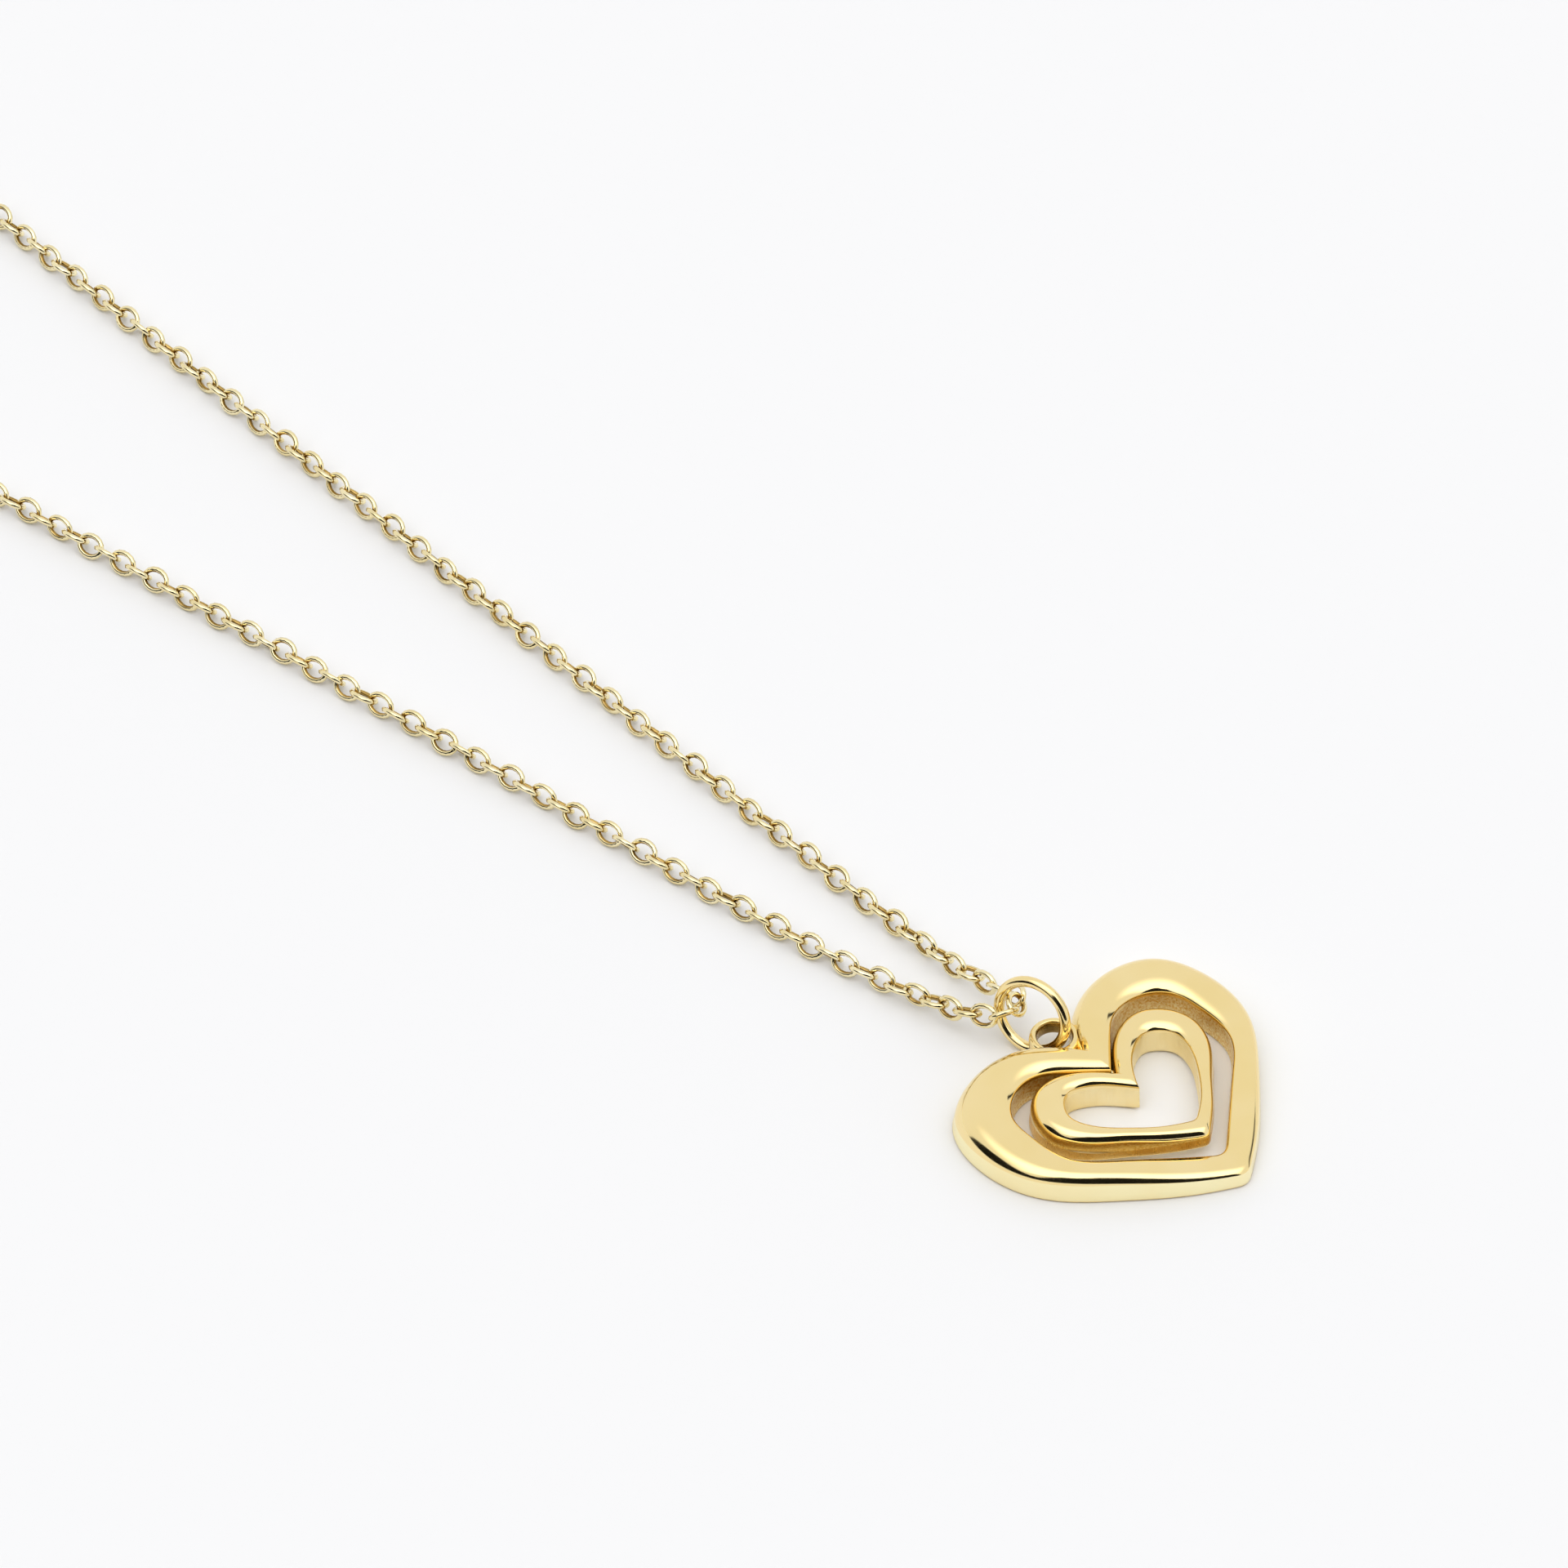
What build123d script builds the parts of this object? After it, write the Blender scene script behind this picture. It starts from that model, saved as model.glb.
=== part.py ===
from build123d import *
import math
import os

# Double heart pendant on a fine chain. Millimetres, +Z up.
# The flat back of the heart lies on z = 0, its tip points to -Y and the chain runs to +Y.
# The origin is on the back of the small heart's cleft, on the line that divides the heart.

# Outer heart frame
heart_half_width = 8.05
heart_top = 5.5
heart_tip = 7.9
heart_cleft = 3.2
heart_tip_round = 1.0
heart_cleft_round = 0.2
lobe_height = 1.95
tip_height = 1.1
wall_draft = 0.12
shoulder_round = 0.75

# Width of the outer frame at its side, top, tip and cleft
frame_side = 2.3
frame_top = 1.7
frame_tip = 1.45
frame_cleft = 2.05
frame_edge_round = 0.32
opening_draft = 0.2
opening_tip_round = 0.4

# Gap between the two frames
gap_side = 0.85
gap_top = 0.95
gap_tip = 1.25
gap_cleft = 0.62

# Small heart frame
inner_side = 1.3
inner_top = 1.55
inner_tip = 0.95
inner_cleft = 1.45
inner_shoulder_round = 0.45
inner_edge_round = 0.18
inner_wall_draft = 0.06
hole_draft = 0.15
inner_tip_round = 0.8
hole_tip_round = 0.3

# Bridge between the two clefts
bridge_width = 0.7
bridge_height = 1.3
bridge_overlap = 0.35

# Eyelet behind the cleft
eyelet_centre = 4.28
eyelet_hole_radius = 0.85
eyelet_wall = 0.45
eyelet_bottom = 0.7
eyelet_height = 0.6
eyelet_round = 0.18

# Jump ring, which stands in the eyelet and leans over it
ring_wire = 0.53
ring_radius = 1.8
ring_centre = (-0.35, 5.66, 2.02)
ring_lean = 15.0
ring_turn = 11.3

# Chain, drawn as a plain round strand of the same outer size
chain_thickness = 1.1
ring_clearance = 0.06
end_clearance = 0.15

# Clasp and the two small rings at the far end of the loop
clasp_radius = 2.3
clasp_wire = 1.0
clasp_eye_radius = 0.9
clasp_eye_wire = 0.4
small_ring_radius = 1.3
small_ring_wire = 0.4
clasp_clearance = 0.1
clasp_centre = (-4.9, 219.6)

# Outlines from the cleft round one lobe to the tip.
# Each row holds the share of the half width and the share of the height above the tip.
OUTER_SHAPE = [(0.156, 0.93), (0.363, 0.99), (0.612, 0.995), (0.856, 0.929), (0.997, 0.725),
               (0.922, 0.49), (0.607, 0.272), (0.283, 0.107)]
OPENING_SHAPE = [(0.175, 0.884), (0.43, 0.98), (0.714, 0.99), (0.92, 0.884), (0.997, 0.71),
                 (0.944, 0.5), (0.651, 0.317), (0.322, 0.155)]
INNER_SHAPE = [(0.218, 0.898), (0.461, 0.989), (0.704, 0.989), (0.916, 0.878), (1.0, 0.7),
               (0.875, 0.491), (0.594, 0.313), (0.31, 0.145)]
HOLE_SHAPE = [(0.259, 0.829), (0.498, 0.955), (0.716, 0.999), (0.916, 0.91), (1.0, 0.768),
              (0.891, 0.557), (0.64, 0.343), (0.345, 0.15)]

# Route of each half of the chain from the jump ring to the far end: x, y, and height above lying
RIGHT_ROUTE = [(0.5, 9.3, 0.5), (0.68, 12.7, 0.08), (1.05, 19.0, 0), (1.93, 32.5, 0),
               (3.9, 60.5, 0), (7.2, 105.0, 0), (10.7, 150.0, 0), (13.3, 182.0, 0),
               (14.2, 199.0, 0), (11.8, 210.5, 0), (6.0, 217.7, 0)]
LEFT_ROUTE = [(-2.0, 7.75, 1.15), (-2.05, 9.9, 0.42), (-2.48, 12.9, 0.06), (-3.35, 18.3, 0),
              (-4.76, 32.5, 0), (-7.68, 60.2, 0), (-12.7, 105.0, 0), (-18.1, 150.0, 0),
              (-22.4, 182.0, 0), (-24.0, 199.0, 0), (-21.6, 210.5, 0), (-15.8, 217.7, 0)]

opening_half = heart_half_width - frame_side
opening_top = heart_top - frame_top
opening_tip = heart_tip - frame_tip
opening_cleft = heart_cleft - frame_cleft
inner_half = opening_half - gap_side
inner_top_y = opening_top - gap_top
inner_tip_y = opening_tip - gap_tip
inner_cleft_y = opening_cleft - gap_cleft
hole_half = inner_half - inner_side
hole_top = inner_top_y - inner_top
hole_tip = inner_tip_y - inner_tip
hole_cleft = inner_cleft_y - inner_cleft

height_slope = (lobe_height - tip_height) / (heart_top + heart_tip)
blank_height = lobe_height * 1.3
top_plane = Plane(origin=(0, heart_top, lobe_height), z_dir=(0, -height_slope, 1))


def heart_outline(half, top, tip, cleft, shape, rounds, inset, z):
    """A heart face at height z, drawn in by inset all round, with its tip and cleft rounded."""
    half = half - inset
    top = top - inset
    tip = tip - inset
    cleft = cleft - inset
    points = [(0, cleft)]
    for across, up in shape:
        points.append((half * across, up * (top + tip) - tip))
    points.append((0, -tip))
    right = Spline(*points)
    face = make_face([right, mirror(right, about=Plane.YZ)])
    tip_round, cleft_round = rounds
    face = fillet(face.vertices().sort_by(Axis.Y)[0:1], tip_round)
    if cleft_round > 0:
        corner = face.vertices().sort_by(lambda v: abs(v.X) + abs(v.Y - cleft))[0:1]
        face = fillet(corner, cleft_round)
    return Pos(0, 0, z) * face


def heart_block(half, top, tip, cleft, shape, rounds, low_inset, high_inset, low, high):
    """A heart-shaped block whose wall leans from one inset at the bottom to another at the top."""
    base = heart_outline(half, top, tip, cleft, shape, rounds, low_inset, low)
    crown = heart_outline(half, top, tip, cleft, shape, rounds, high_inset, high)
    return loft([base, crown], ruled=True)


def top_edges(solid, outer):
    """The edges of the sloping top face, on its outside or round its opening."""
    face = solid.faces().filter_by(lambda f: f.normal_at().Z > 0.9).sort_by(SortBy.AREA)[-1]
    if outer:
        return face.outer_wire().edges()
    edges = ShapeList()
    for wire in face.inner_wires():
        edges = edges + wire.edges()
    return edges


def heart_frame(outside, opening, round_out, round_in):
    """A blank under the sloping top with its opening cut through and both edges rounded."""
    blank = split(outside, bisect_by=top_plane, keep=Keep.BOTTOM)
    blank = fillet(top_edges(blank, True), round_out)
    ring = blank - opening
    return fillet(top_edges(ring, False), round_in)


def outer_frame():
    outside = heart_block(heart_half_width, heart_top, heart_tip, heart_cleft, OUTER_SHAPE,
                          (heart_tip_round, heart_cleft_round), 0, wall_draft, 0, blank_height)
    opening = heart_block(opening_half, opening_top, opening_tip, opening_cleft, OPENING_SHAPE,
                          (opening_tip_round, 0), opening_draft, 0, -0.01, blank_height)
    return heart_frame(outside, opening, shoulder_round, frame_edge_round)


def inner_frame():
    outside = heart_block(inner_half, inner_top_y, inner_tip_y, inner_cleft_y, INNER_SHAPE,
                          (inner_tip_round, heart_cleft_round), 0, inner_wall_draft, 0, blank_height)
    opening = heart_block(hole_half, hole_top, hole_tip, hole_cleft, HOLE_SHAPE,
                          (hole_tip_round, 0), hole_draft, 0, -0.01, blank_height)
    return heart_frame(outside, opening, inner_shoulder_round, inner_edge_round)


def bridge():
    """The short web that joins the small heart's cleft to the frame's."""
    length = gap_cleft + 2 * bridge_overlap
    middle = (opening_cleft + inner_cleft_y) / 2
    return Pos(0, middle, bridge_height / 2) * Box(bridge_width, length, bridge_height)


def eyelet():
    """A flat loop that sits in the cleft."""
    outer_radius = eyelet_hole_radius + eyelet_wall
    band = Cylinder(outer_radius, eyelet_height) - Cylinder(eyelet_hole_radius, eyelet_height)
    band = fillet(band.edges(), eyelet_round)
    return Pos(0, eyelet_centre, eyelet_bottom + eyelet_height / 2) * band


def heart_pendant():
    return outer_frame() + inner_frame() + bridge() + eyelet()


def ring_plane():
    """The jump ring's own plane: its x runs to the far end, its z runs through the ring."""
    upright = Plane(origin=ring_centre, x_dir=(0, 1, 0), z_dir=(-1, 0, 0))
    return upright.rotated((0, ring_lean, ring_turn))


def jump_ring():
    return ring_plane() * Torus(ring_radius, ring_wire / 2)


def chain_start():
    """Where the chain crosses the jump ring's hole, against the wire at its far end."""
    return ring_radius - turn_radius


def chain_path(route, side, end):
    """The strand's middle line from inside the jump ring to the far end."""
    plane = ring_plane()
    start = plane.from_local_coords(Vector(chain_start(), 0, 0))
    corner = plane.from_local_coords(Vector(chain_start(), 0, side * turn_radius * 1.08))
    points = [start, corner]
    for x, y, lift in route:
        points.append(Vector(x, y, chain_thickness / 2 + lift))
    points.append(end)
    runs = [(b - a).length for a, b in zip(points, points[1:])]
    turns = [(b - a).get_angle(c - b) for a, b, c in zip(points, points[1:], points[2:])]
    radii = [turn_radius]
    for before, after, turn in zip(runs[1:], runs[2:], turns[1:]):
        radii.append(0.45 * min(before, after) / math.tan(math.radians(turn / 2)))
    print("runs", [round(run, 1) for run in runs])
    print("turns", [round(turn, 1) for turn in turns])
    print("radii", [round(radius, 1) for radius in radii])
    return FilletPolyline(*points, radius=radii)


def chain_strand(route, side, end):
    path = chain_path(route, side, end)
    section = Plane(origin=path @ 0, z_dir=path % 0) * Circle(chain_thickness / 2)
    strand = sweep(section, path=path)
    expected = math.pi * chain_thickness ** 2 / 4 * path.length
    print("strand length", round(path.length, 1), "volume share", round(strand.volume / expected, 4))
    return strand


def far_end(side):
    """Centre of the small ring on one side of the clasp."""
    x, y = clasp_centre
    if side > 0:
        reach = clasp_radius + clasp_wire / 2 + clasp_eye_radius
        reach = reach + math.sqrt(small_ring_radius ** 2 - small_ring_drop ** 2)
    else:
        reach = clasp_radius
    return Vector(x + side * reach, y, small_ring_radius + small_ring_wire / 2)


def strand_end(side):
    """Where the strand stops beside its small ring."""
    reach = small_ring_radius + small_ring_wire / 2 + end_clearance
    centre = far_end(side)
    return Vector(centre.X + side * reach, centre.Y, chain_thickness / 2)


def clasp():
    """A plain closed ring clasp with a small eye."""
    x, y = clasp_centre
    body = Torus(clasp_radius, clasp_wire / 2)
    eye_x = clasp_radius + clasp_wire / 2 + clasp_eye_radius
    eye = Pos(eye_x, 0, 0) * Torus(clasp_eye_radius, clasp_eye_wire / 2)
    return Pos(x, y, clasp_height) * (body + eye)


def small_ring(side):
    return Pos(far_end(side)) * Rot(90, 0, 0) * Torus(small_ring_radius, small_ring_wire / 2)


turn_radius = (ring_wire + chain_thickness) / 2 + ring_clearance
clasp_height = small_ring_wire + clasp_clearance + clasp_wire / 2
small_ring_drop = small_ring_radius + small_ring_wire / 2 - clasp_height

parts = {
    "heart_pendant": heart_pendant(),
    "jump_ring": jump_ring(),
    "chain_right": chain_strand(RIGHT_ROUTE, -1, strand_end(1)),
    "chain_left": chain_strand(LEFT_ROUTE, 1, strand_end(-1)),
    "clasp": clasp(),
    "clasp_ring": small_ring(1),
    "end_ring": small_ring(-1),
}

os.makedirs("parts", exist_ok=True)
for name, shape in parts.items():
    export_step(shape, "parts/" + name + ".step")
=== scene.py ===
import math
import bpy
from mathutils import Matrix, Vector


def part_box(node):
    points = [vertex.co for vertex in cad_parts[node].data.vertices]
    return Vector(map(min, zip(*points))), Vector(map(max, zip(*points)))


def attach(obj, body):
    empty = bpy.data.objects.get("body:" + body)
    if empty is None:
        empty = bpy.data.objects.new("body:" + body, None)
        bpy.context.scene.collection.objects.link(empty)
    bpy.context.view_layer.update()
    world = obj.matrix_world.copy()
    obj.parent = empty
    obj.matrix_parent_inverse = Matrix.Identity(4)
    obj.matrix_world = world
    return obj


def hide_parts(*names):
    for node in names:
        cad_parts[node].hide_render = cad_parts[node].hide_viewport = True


bl_info = {
    "name": "Double heart pendant on a cable chain",
    "version": (1, 0, 0),
    "blender": (4, 5, 0),
    "location": "3D View > Sidebar > Pendant",
    "description": "Dresses the pendant, its rings and its chain in polished and satin gold",
    "category": "Object",
}

import bpy
import numpy as np
from bpy.props import FloatProperty, FloatVectorProperty, IntProperty, PointerProperty
from mathutils import Matrix, Vector

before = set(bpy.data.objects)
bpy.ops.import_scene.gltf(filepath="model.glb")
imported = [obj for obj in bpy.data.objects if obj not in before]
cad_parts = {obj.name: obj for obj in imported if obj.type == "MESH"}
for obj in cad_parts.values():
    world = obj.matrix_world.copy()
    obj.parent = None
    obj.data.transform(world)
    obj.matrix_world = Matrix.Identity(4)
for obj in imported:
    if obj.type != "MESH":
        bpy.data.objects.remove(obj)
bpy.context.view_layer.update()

MM = 0.001
ROOT = "root"

# Outlines from the cleft round one lobe to the tip, as shares of each outline's own
# half width and of its height above its tip.
OUTER_SHAPE = [(0.156, 0.93), (0.363, 0.99), (0.612, 0.995), (0.856, 0.929), (0.997, 0.725),
               (0.922, 0.49), (0.607, 0.272), (0.283, 0.107)]
OPENING_SHAPE = [(0.231, 0.869), (0.455, 0.97), (0.721, 0.978), (0.925, 0.897), (1.0, 0.729),
                 (0.96, 0.504), (0.662, 0.312), (0.324, 0.15)]
INNER_SHAPE = [(0.218, 0.898), (0.461, 0.989), (0.704, 0.989), (0.916, 0.878), (1.0, 0.7),
               (0.875, 0.491), (0.594, 0.313), (0.31, 0.145)]
HOLE_SHAPE = [(0.259, 0.829), (0.498, 0.955), (0.716, 0.999), (0.916, 0.91), (1.0, 0.768),
              (0.891, 0.557), (0.64, 0.343), (0.345, 0.15)]

# Heights of each frame from its tip to its lobes, in mm: place along y, underside, crest,
# drop from the crest to the outer wall, drop from the crest to the inner wall.
OUTER_HEIGHTS = [(-7.9, 0.0, 0.94, 0.34, 0.2), (-6.5, 0.0, 1.11, 0.4, 0.24),
                 (-5.0, 0.0, 1.34, 0.5, 0.28), (-3.3, 0.0, 1.54, 0.64, 0.34),
                 (-1.0, 0.0, 1.64, 0.82, 0.34), (1.0, 0.0, 1.72, 1.08, 0.34),
                 (3.0, 0.0, 1.85, 1.47, 0.44), (5.8, 0.0, 2.0, 1.6, 0.52)]
SMALL_HEIGHTS = [(-5.3, 0.76, 1.74, 0.4, 0.26), (-4.0, 0.58, 1.77, 0.58, 0.3),
                 (-2.6, 0.38, 1.77, 0.88, 0.32), (0.0, 0.12, 1.77, 0.94, 0.3),
                 (2.9, 0.0, 1.8, 0.94, 0.38)]

# Route of each half of the chain from the jump ring to the far end, in metres:
# x, y, and height above lying.
RIGHT_ROUTE = [(0.0003, 0.0093, 0.0005), (0.00043, 0.0127, 0.00008), (0.0008, 0.019, 0),
               (0.00178, 0.0325, 0), (0.00388, 0.0605, 0), (0.0072, 0.105, 0),
               (0.0107, 0.15, 0), (0.0133, 0.182, 0), (0.0142, 0.199, 0),
               (0.0118, 0.2105, 0), (0.006, 0.2177, 0)]
LEFT_ROUTE = [(-0.002, 0.00775, 0.00115), (-0.00207, 0.0099, 0.00042),
              (-0.0026, 0.0129, 0.00006), (-0.00343, 0.0183, 0), (-0.0048, 0.0325, 0),
              (-0.00768, 0.0602, 0), (-0.0127, 0.105, 0), (-0.0181, 0.15, 0),
              (-0.0224, 0.182, 0), (-0.024, 0.199, 0), (-0.0216, 0.2105, 0),
              (-0.0158, 0.2177, 0)]

# A frame's section, from the underside up the outer wall, over the crown and down the inner
# wall: degrees round each rounded edge, places up and down the walls, and cuts on each side
# of the crest.
BASE_TURNS = (0, 30, 60, 90)
OUTER_WALL_SHARES = (0.4, 0.8)
INNER_WALL_SHARES = (0.1, 0.4, 0.7, 0.95)
CROWN_CUTS = 17
SHOULDER_POWER = 0.9            # 1 makes the outer shoulder round, less makes it squarer
LEAN_POWER = 1.5                # more makes a tip's lean set in later on the way down
OUTER_TIP_ROUNDING = (9, 14)    # cuts on each side of the tip, and how often they are rounded
INNER_TIP_ROUNDING = (10, 18)
OUTER_CREST = 0.5               # place of the crest across the frame's width
SMALL_CREST = 0.55
CREST_MOVE = 0.05               # how much nearer the outer edge it lies towards the tip
CREST_MOVE_REACH = 2.5 * MM     # along y on each side of the origin, where it moves
OUTER_DRAFTS = (0.06 * MM, 0.06 * MM)   # how far the outer and the inner wall slope
SMALL_DRAFTS = (0.04 * MM, 0.05 * MM)
# The outer wall's own material carries painted sheen on the outer heart and painted shade on the
# small one.
OUTER_WALL_TOP = 9              # last station of the section with the outer wall's finish
SMALL_WALL_TOP = 6

# Cuts round each ring or link, and round its section.
EYELET_CUTS = (96, 24)
RING_CUTS = (144, 28)
LINK_CUTS = (16, 6)
WEB_CUTS = 5                    # across the web's rounded edges
EYELET_POWER = 3                # 2 makes the eyelet's section an ellipse, more squarer

# How the pieces are shaded smooth, and which faces of the eyelet and the links are painted darker
# as the shade of their own loop.
FRAME_CREASE = 32               # degrees over which an edge isn't shaded smooth
WEB_CREASE = 40
RING_CREASE = 60
EYELET_SHADE_FACING = 0.6             # how squarely a face looks to the middle to count as inside
LINK_SHADE_FACING = 0.3

# How the links lie.
CURVE_CUTS = 48                 # between two points of the route
RING_GAP = 0.06 * MM            # between the chain and the jump ring's wire
CORNER_SPREAD = 1.08            # how wide the chain goes round the wire, 1 is tight
END_REACH = 0.2 * MM            # from the small ring's wire to the last link's middle
WOBBLES = ((7, 1.7, 0), (5, 0.61, 1))   # degrees, radians from link to link, start
DRIFT = 0.05 * MM               # how far a link lies aside, and radians from link to link
DRIFT_STEP = 2.3
FADE = 3                        # links over which the roll sets in
CROWD_PLACE = 4                 # links from the ring to where they lean over most
CROWD_REACH = 5

# The dim side of the studio: heading from the camera's own direction, to the right where
# positive, and the angles of its foot and its top, in degrees. A top below the foot leaves
# the wall pale.
DIM_SIDE = [(-180, -8, -10), (-98, -8, -10), (-92, -8, 14), (-84, -8, 30), (-74, -8, 36),
            (-66, -8, 35), (-58, -8, 31), (-48, -8, 25), (-38, -8, 20), (-30, -8, 19),
            (-23, -8, 32), (-13, -8, 49), (-2, -8, 50), (8, -8, 53), (15, -8, 59),
            (22, -8, 59), (30, -8, 54), (38, -8, 40), (46, -8, -10), (98, -8, -10),
            (105, -8, 9), (112, 3, 18), (118, 14, 26), (123, 22, 32), (127, 26, 34),
            (130, 28, -10), (180, -8, -10)]
LOWEST = 10                     # degrees under the horizon that the colour ramp begins at
SPAN = 100                      # degrees that the colour ramp holds
DIM_EDGE = 0.015                # softness of the dim side's edges, as a share of the span
PANEL_NEAR = (44.0, 48.0)       # where the panel fades, in degrees from overhead to the camera
PANEL_FAR = (-24.0, 2.0)
PANEL_SIDES = (0.4, 0.75)       # where it fades to each side, as a share of the way there
PANEL_GLOW = 1.0                # light of the panel over that of the pale walls
WALL_GLOW = 0.92
DIM_GLOW = 0.01
BACKDROP = (0.95, 0.95, 0.95, 1)
SENSOR = 36                     # the camera's sensor width in mm
CAMERA_RANGE = (0.01, 100)      # metres from the camera that it sees


def length(name, description, default_mm):
    """A size property, given in millimetres."""
    return FloatProperty(name=name, description=description, default=default_mm * MM,
                         min=0.0, unit="LENGTH", precision=5)


def colour(name, description, code):
    """A colour property from an sRGB hex code."""
    return FloatVectorProperty(name=name, description=description, default=linear(code),
                               size=4, subtype="COLOR", min=0.0, max=1.0)


def linear(code):
    """An sRGB hex code as a linear colour."""
    values = []
    for place in (1, 3, 5):
        share = int(code[place:place + 2], 16) / 255
        values.append(share / 12.92 if share <= 0.04045 else ((share + 0.055) / 1.055) ** 2.4)
    return (*values, 1.0)


def angle(name, description, degrees):
    """An angle property, given in degrees."""
    return FloatProperty(name=name, description=description, default=math.radians(degrees),
                         subtype="ANGLE")


class HeartSizes(bpy.types.PropertyGroup):
    """Sizes of the two heart frames and of the web between them."""
    half_width: length("Half width", "From the middle line to the widest point of the lobe", 8.07)
    top: length("Top", "From the origin up to the top of the lobes", 5.68)
    tip: length("Tip", "From the origin down to the tip", 7.885)
    cleft: length("Cleft", "From the origin up to the bottom of the cleft", 3.19)
    opening_half_width: length("Opening half width", "Half the width of the frame's opening", 5.8)
    opening_top: length("Opening top", "From the origin up to the top of the opening", 3.44)
    opening_tip: length("Opening tip", "From the origin down to the opening's tip", 6.22)
    opening_cleft: length("Opening cleft", "From the origin up to the opening's cleft", 0.89)
    opening_shift: length("Opening shift", "How far the opening sits to the right", 0.12)
    opening_lean: length("Opening lean", "How far the opening's tip lies to the right", 0.14)
    inner_half_width: length("Small heart half width", "Half the width of the small heart", 5.17)
    inner_top: length("Small heart top", "From the origin up to the small heart's lobes", 2.8)
    inner_tip: length("Small heart tip", "From the origin down to the small heart's tip", 5.28)
    inner_cleft: length("Small heart cleft", "From the origin up to the small heart's cleft", 0.8)
    inner_shift: length("Small heart shift", "How far the small heart sits to the right", 0.14)
    inner_lean: length("Small heart lean", "How far the small heart's tip lies to the right", 0.1)
    hole_half_width: length("Hole half width", "Half the width of the middle hole", 3.7)
    hole_top: length("Hole top", "From the origin up to the hole's lobes", 1.36)
    hole_tip: length("Hole tip", "From the origin down to the hole's tip", 4.15)
    hole_lean: length("Hole lean", "How far the hole's tip lies to the right", 0.35)
    hole_cleft_drop: length("Hole cleft", "From the origin down to the hole's cleft", 0.86)
    base_round: length("Base round", "Radius of the rounded edge under the walls", 0.15)
    web_width: length("Web width", "Width of the web between the frames", 0.7)
    web_height: length("Web height", "Height of the web over the surface", 1.12)
    web_round: length("Web round", "Radius of the web's rounded edges", 0.12)
    web_in_small: length("Web in the small heart", "How far it reaches into that frame", 0.3)
    web_in_outer: length("Web in the outer heart", "How far it reaches into that frame", 0.35)
    around: IntProperty(name="Cuts around", description="Cuts round each heart frame",
                        default=520, min=64, max=1200)


class RingSizes(bpy.types.PropertyGroup):
    """Sizes and places of the eyelet and the jump ring."""
    eyelet_hole: length("Eyelet hole radius", "Radius of the hole in the eyelet", 0.82)
    eyelet_wall: length("Eyelet wall", "Thickness of the eyelet's band", 0.4)
    eyelet_bottom: length("Eyelet bottom", "Height of the eyelet's underside", 0.62)
    eyelet_height: length("Eyelet height", "Height of the eyelet's band", 0.83)
    eyelet_centre: length("Eyelet centre", "From the origin up to the eyelet's middle", 4.4)
    eyelet_left: length("Eyelet left", "How far the eyelet sits to the left of the middle", 0.14)
    ring_radius: length("Ring radius", "Radius of the jump ring at the middle of its wire", 1.8)
    ring_wire: length("Ring wire", "Thickness of the jump ring's wire", 0.529)
    ring_left: length("Ring left", "How far the ring's middle lies to the left", 0.35)
    ring_centre: length("Ring centre", "From the origin up to the ring's middle", 5.66)
    ring_height: length("Ring height", "Height of the ring's middle over the surface", 2.02)
    ring_lean: angle("Ring lean", "How far the ring leans over sideways", 15.0)
    ring_turn: angle("Ring turn", "How far the ring is turned about the upright", 11.3)


class ChainSizes(bpy.types.PropertyGroup):
    """Sizes of the chain's links and how they lie."""
    thickness: length("Chain thickness", "Height of the chain as it lies", 1.1)
    pitch: length("Pitch", "Distance from one link's middle to the next", 1.018)
    link_length: length("Link length", "Outer length of a link", 1.62)
    link_width: length("Link width", "Outer width of a link", 1.3)
    link_wire: length("Link wire", "Thickness of a link's wire", 0.28)
    roll: angle("Roll", "How far each link is turned about the chain", 52)
    lean: angle("Lean", "How far the links lean over to the left", 5)
    twist: angle("Twist", "How far the links by the ring lean over more", 26)
    lift: length("Lift", "How far the links stand off the middle line", 0.05)


class GoldColours(bpy.types.PropertyGroup):
    """Colours of the plated finishes, some with painted shade or sheen, and of the sheet under
    the pendant.
    """
    polished: colour("Polished gold", "Pale yellow gold plate, polished", "#F9E3A9")
    polished_warm: colour("Polished gold, warm", "The warmer tone of the same plate", "#F6DE9E")
    # The outer wall's colours are paler than the polished plate: painted sheen for its brighter
    # grazing reflection.
    side: colour("Side gold", "The plate on the outer wall, buffed soft", "#FFF5C6")
    side_sheen_warm: colour("Side gold, warm", "The warmer tone on the outer wall", "#FEEFBB")
    satin: colour("Satin gold", "The plate brushed upright in the hole", "#FFF0C2")
    satin_deep: colour("Satin gold, deep", "The deeper tone of the brushed plate", "#F8E2A4")
    # The gap wall's deep tone is painted shade from the narrow gap; its grain is the cast plate's
    # own.
    grained: colour("Grained gold", "The plate left as cast in the gap", "#FFF1BE")
    grained_gap_shade_deep: colour("Grained gold, deep", "The deeper tone of the same grain", "#E3B95F")
    # The small heart's outer wall is painted darker and deeper: painted shade from the narrow gap
    # and the gold walls round it.
    gap_wall_shade: colour("Amber gold", "The unbuffed plate on the small heart's outer wall", "#EDC878")
    gap_wall_shade_deep: colour("Amber gold, deep", "The deeper tone of the same wall", "#DDB05A")
    wire: colour("Gold wire", "The plate on the chain's drawn wire", "#F8ECC2")
    wire_deep: colour("Gold wire, deep", "The deeper tone of the same wire", "#EEDDA8")
    # The inside of the loops is painted darker: painted shade where each link and the eyelet's
    # hole shade themselves.
    inside: colour("Inside of the loops", "The plate on the inside of the links", "#CBAA66")
    inside_shade_deep: colour("Inside, deep", "The deeper tone on the inside of the links", "#866A34")
    sheet: colour("Sheet", "White sheet that the pendant lies on", "#F3F3F4")


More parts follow.
